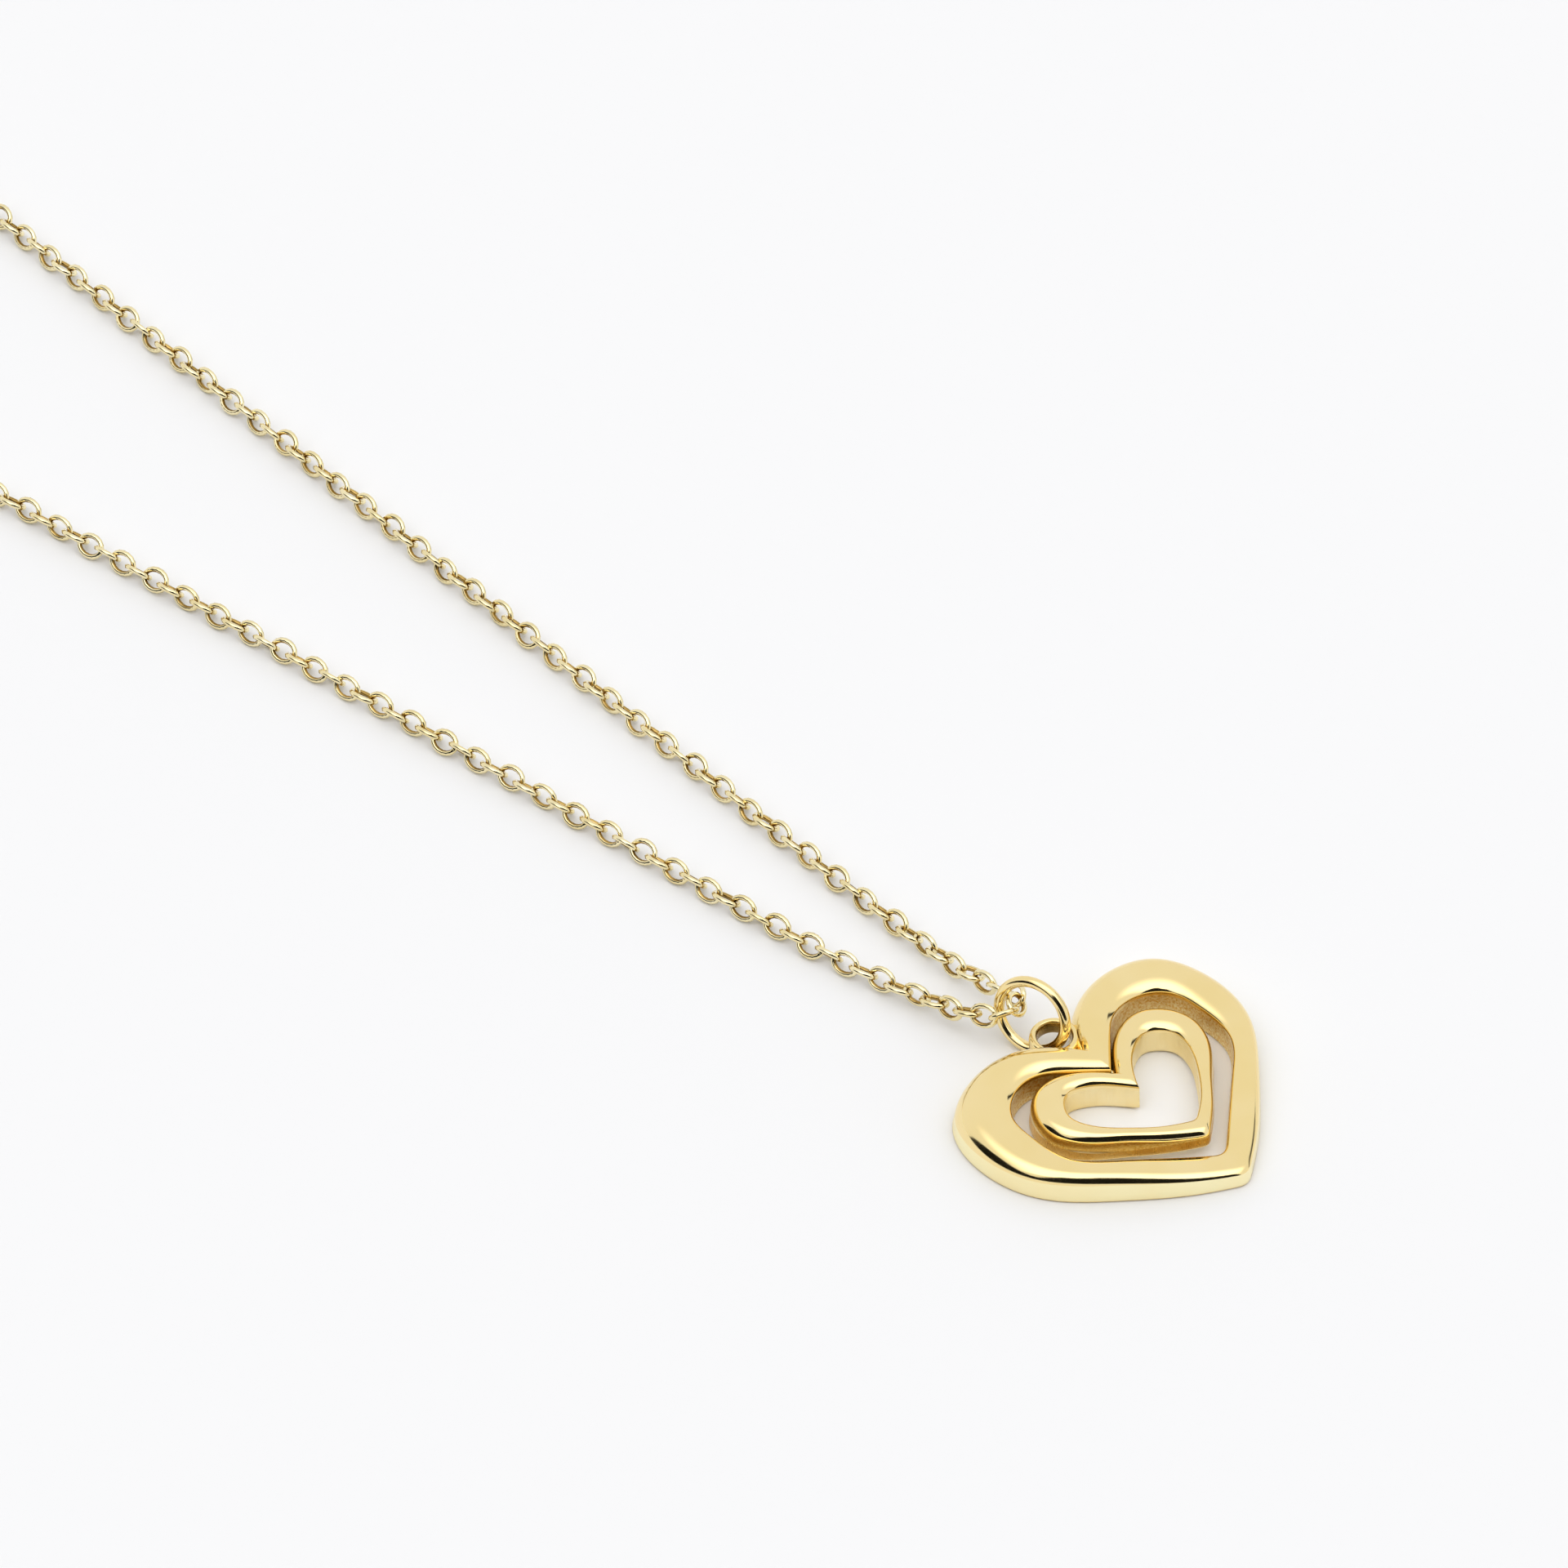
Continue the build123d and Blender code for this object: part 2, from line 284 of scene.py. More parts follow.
class StageSizes(bpy.types.PropertyGroup):
    """Camera, sheet and light."""
    azimuth: angle("Azimuth", "Direction the camera stands in", -46.6)
    elevation: angle("Elevation", "Height of the camera as an angle", 45.8)
    camera_height: length("Camera height", "Height of the camera over the sheet", 386.34)
    camera_x: length("Camera left", "How far the camera stands to the left of the origin", 268.85)
    camera_y: length("Camera front", "How far the camera stands in front of the origin", 232.08)
    lens: FloatProperty(name="Lens", description="Focal length for a 36 mm sensor",
                        default=254.8, min=10, max=500)
    sheet_width: length("Sheet width", "Width of the white sheet", 6000)


def props(group):
    """The property group of that name on the scene."""
    return getattr(bpy.context.scene, group)


def start_edit():
    """Leaves nothing selected before a new primitive."""
    if bpy.context.object and bpy.context.object.mode != "OBJECT":
        bpy.ops.object.mode_set(mode="OBJECT")
    bpy.ops.object.select_all(action="DESELECT")


def set_points(piece, points):
    """Moves the piece's vertices to the given places."""
    piece.data.vertices.foreach_set("co", np.asarray(points, float).reshape(-1))
    piece.data.update()


def outward(piece):
    """Makes the faces point outwards."""
    start_edit()
    piece.select_set(True)
    bpy.context.view_layer.objects.active = piece
    bpy.ops.object.mode_set(mode="EDIT")
    bpy.ops.mesh.select_all(action="SELECT")
    bpy.ops.mesh.normals_make_consistent(inside=False)
    bpy.ops.object.mode_set(mode="OBJECT")


def extruded_band(points):
    """A closed band: the first loop of points, extruded from loop to loop and bridged round."""
    stations, around = points.shape[:2]
    start_edit()
    bpy.ops.mesh.primitive_circle_add(vertices=around, radius=MM)
    piece = bpy.context.object
    for _ in range(1, stations):
        bpy.ops.object.mode_set(mode="EDIT")
        bpy.ops.mesh.extrude_edges_move()
        bpy.ops.object.mode_set(mode="OBJECT")
    set_points(piece, points)
    bpy.ops.object.mode_set(mode="EDIT")
    bpy.ops.mesh.select_all(action="DESELECT")
    bpy.ops.mesh.select_non_manifold()
    bpy.ops.mesh.bridge_edge_loops()
    bpy.ops.object.mode_set(mode="OBJECT")
    outward(piece)
    return piece


def smooth(piece, degrees):
    """Shades the piece smooth apart from creases over the given angle."""
    start_edit()
    piece.select_set(True)
    bpy.context.view_layer.objects.active = piece
    bpy.ops.object.shade_smooth_by_angle(angle=math.radians(degrees))


def finish_piece(piece, name, nodes):
    """Names the piece, ties it to the body and hides the nodes it stands for."""
    piece.name = name
    piece.data.name = name
    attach(piece, ROOT)
    if nodes:
        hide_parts(*nodes)


def spline(points, knots, at):
    """A smooth curve through the points, read at the given places between the knots."""
    points = np.asarray(points, float)
    steps = np.diff(knots)
    count = len(points)
    system = np.zeros((count, count))
    right = np.zeros_like(points)
    system[0, 0] = system[-1, -1] = 1
    for k in range(1, count - 1):
        system[k, k - 1] = steps[k - 1]
        system[k, k] = 2 * (steps[k - 1] + steps[k])
        system[k, k + 1] = steps[k]
        after = (points[k + 1] - points[k]) / steps[k]
        before = (points[k] - points[k - 1]) / steps[k - 1]
        right[k] = 6 * (after - before)
    bend = np.linalg.solve(system, right)
    span = np.clip(np.searchsorted(knots, at, side="right") - 1, 0, count - 2)
    step = steps[span][:, None]
    from_start = (at - knots[span])[:, None]
    to_end = step - from_start
    curve = bend[span] * to_end ** 3 + bend[span + 1] * from_start ** 3
    curve = curve / (6 * step)
    curve = curve + (points[span] / step - bend[span] * step / 6) * to_end
    return curve + (points[span + 1] / step - bend[span + 1] * step / 6) * from_start


def half_points(half_width, top, tip, cleft, shape):
    """The chosen points of one half outline, from the cleft to the tip."""
    points = [(0.0, cleft)]
    for across, up in shape:
        points.append((half_width * across, up * (top + tip) - tip))
    points.append((0.0, -tip))
    return np.array(points)


def soften(points, middle, reach, rounds):
    """Rounds the corner of a closed outline about one of its points."""
    count = len(points)
    offsets = np.arange(-reach, reach + 1)
    weight = 0.5 * (1 + np.cos(np.pi * offsets / (reach + 1)))
    index = (middle + offsets) % count
    for _ in range(rounds):
        mean = (points[(index - 1) % count] + points[(index + 1) % count]) / 2
        points[index] += weight[:, None] * (mean - points[index])
    return points


def closed_outline(half, knots, around, shift, lean):
    """A whole heart outline, from the cleft round the right lobe and back up the left.

    shift moves its sides to the right, and lean its tip.
    """
    at = np.linspace(knots[0], knots[-1], around // 2 + 1)
    right = spline(half, knots, at)
    left = right[1:-1][::-1] * np.array([-1, 1])
    outline = np.vstack([right, left])
    aside = np.clip(np.abs(outline[:, 0]) / half[:, 0].max(), 0, 1)
    down = np.clip(outline[:, 1] / half[-1, 1], 0, 1)
    sideways = shift * np.sin(np.pi * aside / 2) ** 2
    outline[:, 0] += sideways + lean * down ** LEAN_POWER
    return outline


def crown_section(width, heights, rise, drafts, base_round):
    """Points of a frame's section as distance in from the outer edge and height."""
    under, crest, outer_drop, inner_drop = heights
    outer_draft, inner_draft = drafts
    shoulder = crest - outer_drop
    edge = crest - inner_drop
    base_top = under + base_round
    foot = width + inner_draft
    base_swings = [math.radians(turn) for turn in BASE_TURNS]
    crown_swings = [math.radians(turn) for turn in np.linspace(0, 90, CROWN_CUTS)]
    points = [(base_round * (1 - math.sin(swing)), under + base_round * (1 - math.cos(swing)))
              for swing in base_swings]
    points += [(outer_draft * share, base_top + (shoulder - base_top) * share)
               for share in OUTER_WALL_SHARES]
    for swing in crown_swings:
        inward = 1 - max(math.cos(swing), 0) ** SHOULDER_POWER
        points.append((outer_draft + (rise - outer_draft) * inward,
                       shoulder + outer_drop * math.sin(swing) ** SHOULDER_POWER))
    points += [(rise + (width - rise) * math.sin(swing),
                crest - inner_drop * (1 - math.cos(swing))) for swing in crown_swings[1:]]
    points += [(width + inner_draft * share, edge + (base_top - edge) * share)
               for share in INNER_WALL_SHARES]
    points += [(foot - base_round * (1 - math.cos(swing)),
                under + base_round * (1 - math.sin(swing))) for swing in base_swings]
    return points


def heights_at(table, places):
    """Underside, crest and both drops of a frame at places along y, read off its table."""
    rows = np.array(table) * MM
    at = np.clip(places, rows[0, 0], rows[-1, 0])
    return spline(rows[:, 1:], rows[:, 0], at).T


def heart_frame(outside, inside, shifts, tip_leans, table, crest_share, drafts):
    """A crowned heart frame between two outlines, and how many stations its section has."""
    s = props("heart_sizes")
    around = s.around
    lengths = np.hypot(*np.diff(outside, axis=0).T)
    knots = np.concatenate([[0], np.cumsum(lengths)])
    outer = closed_outline(outside, knots, around, shifts[0], tip_leans[0])
    inner = closed_outline(inside, knots, around, shifts[1], tip_leans[1])
    tip = around // 2
    outer = soften(outer, tip, *OUTER_TIP_ROUNDING)
    inner = soften(inner, tip, *INNER_TIP_ROUNDING)
    gap = inner - outer
    width = np.hypot(gap[:, 0], gap[:, 1])
    across = gap / width[:, None]
    heights = heights_at(table, (outer[:, 1] + inner[:, 1]) / 2)
    lobes = np.clip((outer[:, 1] + CREST_MOVE_REACH) / (2 * CREST_MOVE_REACH), 0, 1)
    rise = (crest_share - CREST_MOVE + CREST_MOVE * lobes) * width
    section = crown_section(width, heights, rise, drafts, s.base_round)
    points = np.zeros((len(section), around, 3))
    for k, (inward, height) in enumerate(section):
        inward = np.broadcast_to(inward, width.shape)
        points[k, :, :2] = outer + across * inward[:, None]
        points[k, :, 2] = height
    piece = extruded_band(points)
    smooth(piece, FRAME_CREASE)
    return piece, len(section)


def dress_heart(piece, count, inner_wall, outer_wall, wall_top):
    """Polishes the crown and gives the inner and the outer wall each its own material, some with
    painted shade or sheen in their colours.
    """
    piece.data.materials.clear()
    for material in (polished_gold(), inner_wall, outer_wall):
        piece.data.materials.append(material)
    around = props("heart_sizes").around
    outer_foot = len(BASE_TURNS) - 1
    inner_top = count - len(INNER_WALL_SHARES) - len(BASE_TURNS)
    for face in piece.data.polygons:
        stations = sorted(vertex // around for vertex in face.vertices)
        if stations[0] >= inner_top:
            face.material_index = 1
        elif outer_foot <= stations[0] and stations[-1] <= wall_top:
            face.material_index = 2


class PENDANT_OT_outer_heart(bpy.types.Operator):
    """Models the outer heart frame as a crowned band between two outlines"""
    bl_idname = "pendant.outer_heart"
    bl_label = "Outer heart"

    def execute(self, context):
        s = props("heart_sizes")
        outside = half_points(s.half_width, s.top, s.tip, s.cleft, OUTER_SHAPE)
        inside = half_points(s.opening_half_width, s.opening_top, s.opening_tip,
                             s.opening_cleft, OPENING_SHAPE)
        piece, count = heart_frame(outside, inside, (0.0, s.opening_shift),
                                   (0.0, s.opening_lean), OUTER_HEIGHTS, OUTER_CREST,
                                   OUTER_DRAFTS)
        dress_heart(piece, count, grained_gap_shade_gold(), side_gold(), OUTER_WALL_TOP)
        finish_piece(piece, "outer_heart", ["heart_pendant"])
        return {"FINISHED"}


class PENDANT_OT_small_heart(bpy.types.Operator):
    """Models the small heart frame that hangs in the cleft of the outer one"""
    bl_idname = "pendant.small_heart"
    bl_label = "Small heart"

    def execute(self, context):
        s = props("heart_sizes")
        outside = half_points(s.inner_half_width, s.inner_top, s.inner_tip, s.inner_cleft,
                              INNER_SHAPE)
        inside = half_points(s.hole_half_width, s.hole_top, s.hole_tip, -s.hole_cleft_drop,
                             HOLE_SHAPE)
        piece, count = heart_frame(outside, inside, (s.inner_shift, s.inner_shift),
                                   (s.inner_lean, s.hole_lean), SMALL_HEIGHTS, SMALL_CREST,
                                   SMALL_DRAFTS)
        dress_heart(piece, count, satin_gold(), gap_wall_shade_gold(), SMALL_WALL_TOP)
        finish_piece(piece, "small_heart", [])
        return {"FINISHED"}


class PENDANT_OT_cleft_web(bpy.types.Operator):
    """Models the short web that joins the two frames at their clefts"""
    bl_idname = "pendant.cleft_web"
    bl_label = "Cleft web"

    def execute(self, context):
        s = props("heart_sizes")
        low = s.inner_cleft - s.web_in_small
        high = s.opening_cleft + s.web_in_outer
        middle = (0, (low + high) / 2, s.web_height / 2)
        start_edit()
        bpy.ops.mesh.primitive_cube_add(size=1, location=middle)
        piece = bpy.context.object
        piece.scale = (s.web_width, high - low, s.web_height)
        bpy.ops.object.transform_apply(location=True, rotation=False, scale=True)
        bevel = piece.modifiers.new("Rounded edges", "BEVEL")
        bevel.width = s.web_round
        bevel.segments = WEB_CUTS
        bevel.limit_method = "NONE"
        bpy.ops.object.modifier_apply(modifier=bevel.name)
        smooth(piece, WEB_CREASE)
        piece.data.materials.append(polished_gold())
        finish_piece(piece, "cleft_web", [])
        return {"FINISHED"}


class PENDANT_OT_eyelet(bpy.types.Operator):
    """Models the flat loop behind the cleft"""
    bl_idname = "pendant.eyelet"
    bl_label = "Eyelet"

    def execute(self, context):
        r = props("ring_sizes")
        start_edit()
        around, turns = EYELET_CUTS
        bpy.ops.mesh.primitive_torus_add(major_segments=around, minor_segments=turns)
        piece = bpy.context.object
        middle = r.eyelet_hole + r.eyelet_wall / 2
        points = np.zeros((around, turns, 3))
        for j in range(turns):
            swing = 2 * math.pi * j / turns
            side, up = math.cos(swing), math.sin(swing)
            corner = abs(side) ** EYELET_POWER + abs(up) ** EYELET_POWER
            fill = corner ** (-1 / EYELET_POWER)
            radius = middle + r.eyelet_wall / 2 * side * fill
            height = r.eyelet_bottom + r.eyelet_height * (1 + up * fill) / 2
            for i in range(around):
                turn = 2 * math.pi * i / around
                points[i, j] = (radius * math.cos(turn) - r.eyelet_left,
                                r.eyelet_centre + radius * math.sin(turn), height)
        set_points(piece, points)
        outward(piece)
        smooth(piece, RING_CREASE)
        piece.data.materials.append(polished_gold())
        piece.data.materials.append(painted_shade_gold())
        centre = Vector((-r.eyelet_left, r.eyelet_centre))
        # The faces on the inside of the hole take the darker material: painted shade.
        for face in piece.data.polygons:
            outwards = (face.center.xy - centre).normalized()
            if face.normal.xy.dot(outwards) < -EYELET_SHADE_FACING:
                face.material_index = 1
        finish_piece(piece, "eyelet", [])
        return {"FINISHED"}


def ring_matrix():
    """Place of the jump ring: its x runs to the far end and its z runs through the ring."""
    r = props("ring_sizes")
    centre = Vector((-r.ring_left, r.ring_centre, r.ring_height))
    upright = Matrix(((0, 0, -1), (1, 0, 0), (0, -1, 0))).to_4x4()
    lean = Matrix.Rotation(r.ring_lean, 4, "Y")
    turn = Matrix.Rotation(r.ring_turn, 4, "Z")
    return Matrix.Translation(centre) @ lean @ turn @ upright


class PENDANT_OT_jump_ring(bpy.types.Operator):
    """Models the jump ring that stands in the eyelet"""
    bl_idname = "pendant.jump_ring"
    bl_label = "Jump ring"

    def execute(self, context):
        r = props("ring_sizes")
        start_edit()
        around, turns = RING_CUTS
        bpy.ops.mesh.primitive_torus_add(major_segments=around, minor_segments=turns,
                                         major_radius=r.ring_radius,
                                         minor_radius=r.ring_wire / 2)
        piece = bpy.context.object
        piece.data.transform(ring_matrix())
        smooth(piece, RING_CREASE)
        piece.data.materials.append(polished_gold())
        finish_piece(piece, "jump_ring_polished", ["jump_ring"])
        return {"FINISHED"}


def small_ring_end(node, side):
    """Where the last link's middle lies against the small ring, on the chain's side."""
    low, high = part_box(node)
    chain = props("chain_sizes")
    centre = (low + high) / 2
    wire = high.y - low.y
    radius = (high.x - low.x - wire) / 2
    drop = centre.z - chain.thickness / 2
    reach = math.sqrt(radius ** 2 - drop ** 2) + END_REACH
    return Vector((centre.x + side * reach, centre.y, chain.thickness / 2))


def chain_line():
    """The chain's middle line from the small ring on the right to the one on the left.

    Its places come with the middle of its turn inside the jump ring.
    """
    r = props("ring_sizes")
    half = props("chain_sizes").thickness / 2
    turn_radius = r.ring_wire / 2 + half + RING_GAP
    ring_place = ring_matrix()
    inside = r.ring_radius - turn_radius
    right_corner = ring_place @ Vector((inside, 0, -turn_radius * CORNER_SPREAD))
    left_corner = ring_place @ Vector((inside, 0, turn_radius * CORNER_SPREAD))
    points = [small_ring_end("clasp_ring", 1)]
    points += [Vector((x, y, half + lift)) for x, y, lift in reversed(RIGHT_ROUTE)]
    points += [right_corner, left_corner]
    points += [Vector((x, y, half + lift)) for x, y, lift in LEFT_ROUTE]
    points.append(small_ring_end("end_ring", -1))
    curve = bpy.data.curves.new("chain_line", "CURVE")
    curve.dimensions = "3D"
    curve.resolution_u = CURVE_CUTS
    line = curve.splines.new("NURBS")
    line.points.add(len(points) - 1)
    for control, place in zip(line.points, points):
        control.co = (*place, 1.0)
    line.order_u = 3
    line.use_endpoint_u = True
    holder = bpy.data.objects.new("chain_line", curve)
    mesh = bpy.data.meshes.new_from_object(holder)
    dense = np.array([vertex.co for vertex in mesh.vertices])
    bpy.data.objects.remove(holder)
    bpy.data.curves.remove(curve)
    bpy.data.meshes.remove(mesh)
    return dense, np.array((right_corner + left_corner) / 2)


def link_mesh():
    """One oval link, its long side along x, lying in the plane of x and y."""
    c = props("chain_sizes")
    around, turns = LINK_CUTS
    start_edit()
    bpy.ops.mesh.primitive_torus_add(major_segments=around, minor_segments=turns)
    piece = bpy.context.object
    half_length = (c.link_length - c.link_wire) / 2
    half_width = (c.link_width - c.link_wire) / 2
    points = np.zeros((around, turns, 3))
    for i in range(around):
        turn = 2 * math.pi * (i + 0.5) / around
        out = np.array([math.cos(turn) * half_width, math.sin(turn) * half_length])
        out = out / np.hypot(*out)
        middle = np.array([math.cos(turn) * half_length, math.sin(turn) * half_width])
        for j in range(turns):
            swing = 2 * math.pi * j / turns
            radial = c.link_wire / 2 * math.cos(swing)
            points[i, j, :2] = middle + out * radial
            points[i, j, 2] = c.link_wire / 2 * math.sin(swing)
    set_points(piece, points)
    outward(piece)
    bpy.ops.object.shade_smooth()
    piece.data.materials.append(chain_gold())
    piece.data.materials.append(painted_shade_gold())
    # The faces on the inside of the loop take the darker material: painted shade.
    for face in piece.data.polygons:
        if face.normal.dot(face.center) < -LINK_SHADE_FACING * face.center.length:
            face.material_index = 1
    return piece


def along(dense, spacing):
    """Even places along a line, with the direction at each."""
    steps = np.hypot(np.hypot(*np.diff(dense[:, :2], axis=0).T), np.diff(dense[:, 2]))
    travelled = np.concatenate([[0], np.cumsum(steps)])
    count = int(round(travelled[-1] / spacing))
    at = np.linspace(0, travelled[-1], count + 1)

    def places(distances):
        return np.stack([np.interp(distances, travelled, dense[:, k]) for k in range(3)], 1)

    return places(at), places(at + spacing / 2) - places(at - spacing / 2)


def link_place(k, nearest, count, place, direction):
    """Where link k goes: on the chain's line, rolled about it and a little aside.

    Links lean one way on the right half of the chain and the other way on the left half,
    most of all near the jump ring, and not at all at the chain's ends.
    """
    c = props("chain_sizes")
    forward = Vector(direction).normalized()
    side = Vector((0, 0, 1)).cross(forward).normalized()
    up = forward.cross(side)
    turned = Matrix((forward, side, up)).transposed().to_4x4()
    wobble = math.radians(sum(size * math.sin(k * step + start)
                              for size, step, start in WOBBLES))
    from_end = min(1.0, min(k, count - 1 - k) / FADE)
    strand = max(-1.0, min(1.0, (nearest - k) / FADE))
    crowding = max(0.0, 1 - abs(abs(k - nearest) - CROWD_PLACE) / CROWD_REACH)
    lean = c.lean + c.twist * crowding
    roll = (-c.roll if k % 2 else c.roll) + (lean * strand + wobble) * from_end
    drift = Vector((0, DRIFT * math.sin(k * DRIFT_STEP), 0))
    return (Matrix.Translation(Vector(place) + Vector((0, 0, c.lift))) @ turned
            @ Matrix.Translation(drift) @ Matrix.Rotation(roll, 4, "X"))


class PENDANT_OT_chain(bpy.types.Operator):
    """Lays the links of the chain, each turned a little over a quarter from the last"""
    bl_idname = "pendant.chain"
    bl_label = "Chain"

    def execute(self, context):
        dense, middle = chain_line()
        places, directions = along(dense, props("chain_sizes").pitch)
        pattern = link_mesh()
        nearest = int(np.argmin(np.linalg.norm(places - middle, axis=1)))
        count = len(places)
        for name, node, members in (("chain_right_links", "chain_right", range(nearest)),
                                    ("chain_left_links", "chain_left", range(nearest, count))):
            links = []
            for k in members:
                link = pattern.copy()
                link.data = pattern.data.copy()
                context.collection.objects.link(link)
                link.data.transform(link_place(k, nearest, count, places[k], directions[k]))
                links.append(link)
            start_edit()
            for link in links:
                link.select_set(True)
            context.view_layer.objects.active = links[0]
            bpy.ops.object.join()
            piece = context.view_layer.objects.active
            finish_piece(piece, name, [node])
        bpy.data.objects.remove(pattern)
        return {"FINISHED"}


def add_node(tree, kind, label, settings=None, values=None, links=None):
    """Adds a shader node with its settings, values and links from other sockets."""
    node = tree.nodes.new(kind)
    node.label = label
    for key, value in (settings or {}).items():
        setattr(node, key, value)
    for key, value in (values or {}).items():
        node.inputs[key].default_value = value
    for key, socket in (links or {}).items():
        tree.links.new(socket, node.inputs[key])
    return node


def new_material(name):
    """A node material with nothing in it yet, and its tree."""
    material = bpy.data.materials.new(name)
    material.use_nodes = True
    material.node_tree.nodes.clear()
    return material, material.node_tree


def gold_plate(name, light, deep, roughness, scale, strength, depth=0.01 * MM, detail=1.0,
               upright=1.0, clouds=320.0):
    """Plated gold whose tone, polish and grain follow the object's own coordinates.

    The grain has its scale, the strength and depth of its bump, its detail and its scale
    upright, where less than 1 draws it out into streaks. clouds is the scale of the tones.
    """
    if name in bpy.data.materials:
        return bpy.data.materials[name]
    material, tree = new_material(name)
    coordinates = add_node(tree, "ShaderNodeTexCoord", "Object place")
    place = coordinates.outputs["Object"]
    cloud = add_node(tree, "ShaderNodeTexNoise", "Tone of the plate", None,
                     {"Scale": clouds, "Detail": 2.0, "Roughness": 0.5}, {"Vector": place})
    spread = add_node(tree, "ShaderNodeMapRange", "Tone spread", None,
                      {"From Min": 0.32, "From Max": 0.68}, {"Value": cloud.outputs["Fac"]})
    tone = add_node(tree, "ShaderNodeMix", "Tone", {"data_type": "RGBA"},
                    {6: light, 7: deep}, {0: spread.outputs["Result"]})
    stretched = add_node(tree, "ShaderNodeMapping", "Grain direction", None,
                         {"Scale": (1, 1, upright)}, {"Vector": place})
    grains = add_node(tree, "ShaderNodeTexNoise", "Grain", None,
                      {"Scale": scale, "Detail": detail, "Roughness": 0.55},
                      {"Vector": stretched.outputs["Vector"]})
    rough = add_node(tree, "ShaderNodeMapRange", "Polish", None,
                     {"From Min": 0.3, "From Max": 0.7, "To Min": roughness[0],
                      "To Max": roughness[1]}, {"Value": grains.outputs["Fac"]})
    bump = add_node(tree, "ShaderNodeBump", "Grain height", None,
                    {"Strength": strength, "Distance": depth},
                    {"Height": grains.outputs["Fac"]})
    surface = add_node(tree, "ShaderNodeBsdfPrincipled", name, None, {"Metallic": 1.0},
                       {"Base Color": tone.outputs[2], "Roughness": rough.outputs["Result"],
                        "Normal": bump.outputs["Normal"]})
    add_node(tree, "ShaderNodeOutputMaterial", "Output", None, None,
             {"Surface": surface.outputs["BSDF"]})
    return material


def polished_gold():
    """Gold plate over cast silver, buffed: clear reflections with faint buffing waves."""
    c = props("gold_colours")
    return gold_plate("polished_gold_plate", c.polished, c.polished_warm, (0.09, 0.13),
                      scale=900.0, strength=0.05)


def side_gold():
    """The same plate on the outer wall, buffed softer for a broader sheen, its colour painted
    paler as sheen.
    """
    c = props("gold_colours")
    return gold_plate("soft_buffed_gold_painted_sheen", c.side, c.side_sheen_warm, (0.16, 0.24),
                      scale=900.0, strength=0.05)


def satin_gold():
    """The same plate brushed upright in the hole: fine streaks and a pale soft sheen."""
    c = props("gold_colours")
    return gold_plate("brushed_gold_plate", c.satin, c.satin_deep, (0.3, 0.48), scale=7000.0,
                      strength=0.6, depth=0.025 * MM, detail=3.0, upright=0.16)


def grained_gap_shade_gold():
    """The same plate left as cast in the narrow gap: a grainy sparkle, with a deep tone painted
    in as shade from the gap.
    """
    c = props("gold_colours")
    return gold_plate("as_cast_gold_painted_gap_shade", c.grained, c.grained_gap_shade_deep, (0.3, 0.48),
                      scale=12000.0, strength=0.45, depth=0.02 * MM, detail=2.0, upright=0.5,
                      clouds=9000.0)


def gap_wall_shade_gold():
    """The same plate left unbuffed on the small heart's outer wall, faintly streaked, its colour
    painted deep as shade from the narrow gap.
    """
    c = props("gold_colours")
    return gold_plate("unbuffed_gold_painted_gap_shade", c.gap_wall_shade, c.gap_wall_shade_deep, (0.22, 0.36),
                      scale=7000.0, strength=0.35, depth=0.02 * MM, detail=2.0, upright=0.16,
                      clouds=900.0)


def chain_gold():
    """Plated drawn wire, tumbled bright: small clear glints."""
    c = props("gold_colours")
    return gold_plate("tumbled_gold_wire", c.wire, c.wire_deep, (0.05, 0.09), scale=1500.0,
                      strength=0.08)


def painted_shade_gold():
    """The inside of the loops and of the eyelet's hole: a duller plate whose darker colour is
    painted shade.
    """
    c = props("gold_colours")
    return gold_plate("gold_painted_loop_shade", c.inside, c.inside_shade_deep, (0.2, 0.32),
                      scale=3000.0, strength=0.2, clouds=900.0)


def sheet_paper():
    """Matt white card: an even pale sheet that takes soft shadows."""
    c = props("gold_colours")
    material, tree = new_material("matt_white_card")
    coordinates = add_node(tree, "ShaderNodeTexCoord", "Object place")
    fibres = add_node(tree, "ShaderNodeTexNoise", "Card fibres", None,
                      {"Scale": 2500.0, "Detail": 2.0}, {"Vector": coordinates.outputs["Object"]})
    bump = add_node(tree, "ShaderNodeBump", "Fibre height", None,
                    {"Strength": 0.05, "Distance": 0.01 * MM}, {"Height": fibres.outputs["Fac"]})
    surface = add_node(tree, "ShaderNodeBsdfPrincipled", "Card", None,
                       {"Base Color": c.sheet, "Roughness": 0.9, "Specular IOR Level": 0.0},
                       {"Normal": bump.outputs["Normal"]})
    add_node(tree, "ShaderNodeOutputMaterial", "Output", None, None,
             {"Surface": surface.outputs["BSDF"]})
    return material


class PENDANT_OT_clasp_finish(bpy.types.Operator):
    """Gives the clasp and the two small rings their gold finish"""
    bl_idname = "pendant.clasp_finish"
    bl_label = "Clasp and small rings"

    def execute(self, context):
        for node in ("clasp", "clasp_ring", "end_ring"):
            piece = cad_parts[node]
            piece.data.materials.clear()
            piece.data.materials.append(chain_gold())
        return {"FINISHED"}


def world_math(tree, operation, *terms):
    """A maths node on sockets or plain numbers."""
    plain = {k: term for k, term in enumerate(terms) if isinstance(term, (int, float))}
    sockets = {k: term for k, term in enumerate(terms) if k not in plain}
    node = add_node(tree, "ShaderNodeMath", operation.lower(), {"operation": operation}, plain,
                    sockets)
    return node.outputs[0]


def one_less(tree, value):
    """1 less the value."""
    return world_math(tree, "SUBTRACT", 1.0, value)


def in_degrees(tree, value):
    """An angle in radians as degrees."""
    return world_math(tree, "MULTIPLY", value, 180 / math.pi)


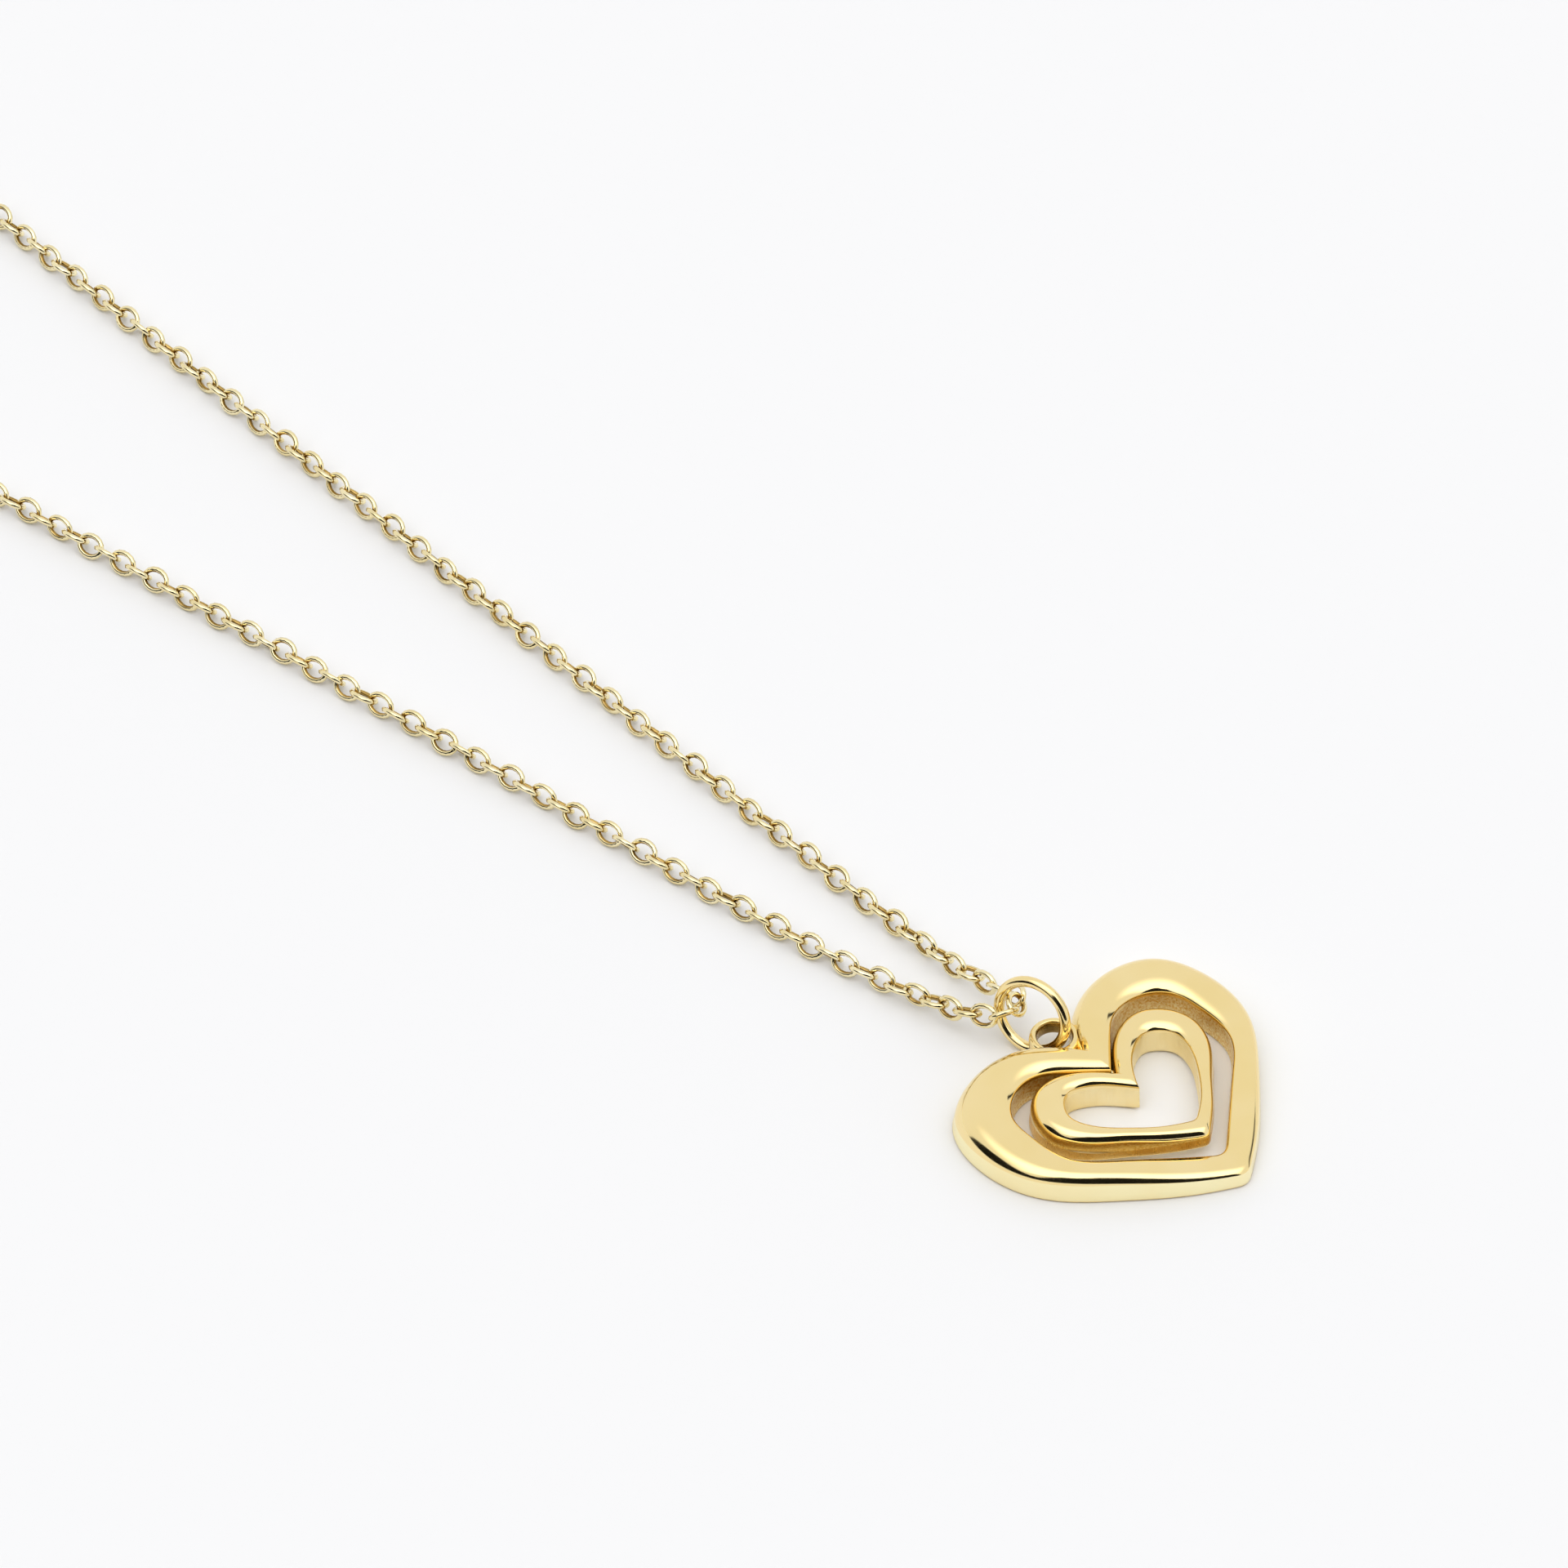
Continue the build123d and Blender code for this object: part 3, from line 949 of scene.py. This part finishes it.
def soft_step(tree, value, low, high):
    """0 below low and 1 above high, with a smooth rise between."""
    node = add_node(tree, "ShaderNodeMapRange", "soft step",
                    {"interpolation_type": "SMOOTHSTEP"},
                    {"From Min": low, "From Max": high}, {"Value": value})
    return node.outputs["Result"]


def studio_light(stage):
    """Soft studio: a bright panel overhead, pale walls and a dim side where the camera stands."""
    world = bpy.data.worlds.new("soft_studio")
    bpy.context.scene.world = world
    world.use_nodes = True
    tree = world.node_tree
    tree.nodes.clear()
    coordinates = add_node(tree, "ShaderNodeTexCoord", "Direction")
    turned = add_node(tree, "ShaderNodeVectorRotate", "Turn to the camera",
                      {"rotation_type": "Z_AXIS"}, {"Angle": -stage.azimuth},
                      {"Vector": coordinates.outputs["Generated"]})
    parts = add_node(tree, "ShaderNodeSeparateXYZ", "Right, away, up", None, None,
                     {"Vector": turned.outputs["Vector"]})
    right = parts.outputs["X"]
    towards = world_math(tree, "MULTIPLY", parts.outputs["Y"], -1.0)
    up = parts.outputs["Z"]
    tilt = in_degrees(tree, world_math(tree, "ARCTAN2", towards, up))
    heading = in_degrees(tree, world_math(tree, "ARCTAN2", right, towards))
    height = in_degrees(tree, world_math(tree, "ARCSINE", up))
    near_edge = one_less(tree, soft_step(tree, tilt, *PANEL_NEAR))
    far_edge = soft_step(tree, tilt, *PANEL_FAR)
    aside = world_math(tree, "ABSOLUTE", right)
    sides = one_less(tree, soft_step(tree, aside, *PANEL_SIDES))
    panel = world_math(tree, "MULTIPLY", world_math(tree, "MULTIPLY", near_edge, far_edge), sides)
    ramp = add_node(tree, "ShaderNodeValToRGB", "Foot and top of the dim side", None, None, {
        "Fac": world_math(tree, "MULTIPLY_ADD", heading, 1 / 360, 0.5)})
    stops = ramp.color_ramp.elements
    while len(stops) < len(DIM_SIDE):
        stops.new(0.5)
    for stop, (bearing, foot, top) in zip(stops, DIM_SIDE):
        stop.position = bearing / 360 + 0.5
        stop.color = ((foot + LOWEST) / SPAN, (top + LOWEST) / SPAN, 0, 1)
    dim = add_node(tree, "ShaderNodeSeparateXYZ", "Foot, top", None, None,
                   {"Vector": ramp.outputs["Color"]})
    share = world_math(tree, "MULTIPLY_ADD", height, 1 / SPAN, LOWEST / SPAN)
    over_foot = world_math(tree, "SUBTRACT", share, dim.outputs["X"])
    over_top = world_math(tree, "SUBTRACT", share, dim.outputs["Y"])
    dimmed = world_math(tree, "MULTIPLY", soft_step(tree, over_foot, -DIM_EDGE, DIM_EDGE),
                        one_less(tree, soft_step(tree, over_top, -DIM_EDGE, DIM_EDGE)))
    pale = world_math(tree, "MULTIPLY_ADD", panel, PANEL_GLOW, WALL_GLOW)
    glow = world_math(tree, "MULTIPLY_ADD", one_less(tree, dimmed),
                      world_math(tree, "SUBTRACT", pale, DIM_GLOW), DIM_GLOW)
    room = add_node(tree, "ShaderNodeBackground", "Room", None, {"Color": (1, 1, 1, 1)},
                    {"Strength": glow})
    backdrop = add_node(tree, "ShaderNodeBackground", "Backdrop", None,
                        {"Color": BACKDROP, "Strength": 1.0})
    path = add_node(tree, "ShaderNodeLightPath", "Seen by the camera")
    mixed = add_node(tree, "ShaderNodeMixShader", "Backdrop or room", None, None,
                     {0: path.outputs["Is Camera Ray"], 1: room.outputs["Background"],
                      2: backdrop.outputs["Background"]})
    add_node(tree, "ShaderNodeOutputWorld", "Output", None, None,
             {"Surface": mixed.outputs["Shader"]})


class PENDANT_OT_stage(bpy.types.Operator):
    """Sets the white sheet, the soft studio light and the camera"""
    bl_idname = "pendant.stage"
    bl_label = "Stage"

    def execute(self, context):
        stage = props("stage_sizes")
        start_edit()
        bpy.ops.mesh.primitive_plane_add(size=stage.sheet_width)
        sheet = context.object
        sheet.name = "white_sheet"
        sheet.data.materials.append(sheet_paper())
        studio_light(stage)
        start_edit()
        place = Vector((-stage.camera_x, -stage.camera_y, stage.camera_height))
        turn = (math.pi / 2 - stage.elevation, 0, stage.azimuth)
        bpy.ops.object.camera_add(location=place, rotation=turn)
        camera = context.object
        camera.data.lens = stage.lens
        camera.data.sensor_width = SENSOR
        camera.data.clip_start, camera.data.clip_end = CAMERA_RANGE
        context.scene.camera = camera
        context.scene.view_settings.view_transform = "Standard"
        return {"FINISHED"}


class PENDANT_PT_panel(bpy.types.Panel):
    """Lists the pendant's steps"""
    bl_idname = "PENDANT_PT_panel"
    bl_label = "Pendant"
    bl_space_type = "VIEW_3D"
    bl_region_type = "UI"
    bl_category = "Pendant"

    def draw(self, context):
        for operator in OPERATORS:
            self.layout.operator(operator.bl_idname)


OPERATORS = (PENDANT_OT_outer_heart, PENDANT_OT_small_heart, PENDANT_OT_cleft_web,
             PENDANT_OT_eyelet, PENDANT_OT_jump_ring, PENDANT_OT_chain,
             PENDANT_OT_clasp_finish, PENDANT_OT_stage)
GROUPS = (("heart_sizes", HeartSizes), ("ring_sizes", RingSizes), ("chain_sizes", ChainSizes),
          ("gold_colours", GoldColours), ("stage_sizes", StageSizes))


def register():
    for _, group in GROUPS:
        bpy.utils.register_class(group)
    for operator in OPERATORS:
        bpy.utils.register_class(operator)
    bpy.utils.register_class(PENDANT_PT_panel)
    for name, group in GROUPS:
        setattr(bpy.types.Scene, name, PointerProperty(type=group))


def unregister():
    for name, group in reversed(GROUPS):
        delattr(bpy.types.Scene, name)
    bpy.utils.unregister_class(PENDANT_PT_panel)
    for operator in reversed(OPERATORS):
        bpy.utils.unregister_class(operator)
    for _, group in reversed(GROUPS):
        bpy.utils.unregister_class(group)


def main():
    register()
    bpy.ops.pendant.outer_heart()
    bpy.ops.pendant.small_heart()
    bpy.ops.pendant.cleft_web()
    bpy.ops.pendant.eyelet()
    bpy.ops.pendant.jump_ring()
    bpy.ops.pendant.chain()
    bpy.ops.pendant.clasp_finish()
    bpy.ops.pendant.stage()


if __name__ == "__main__":
    main()
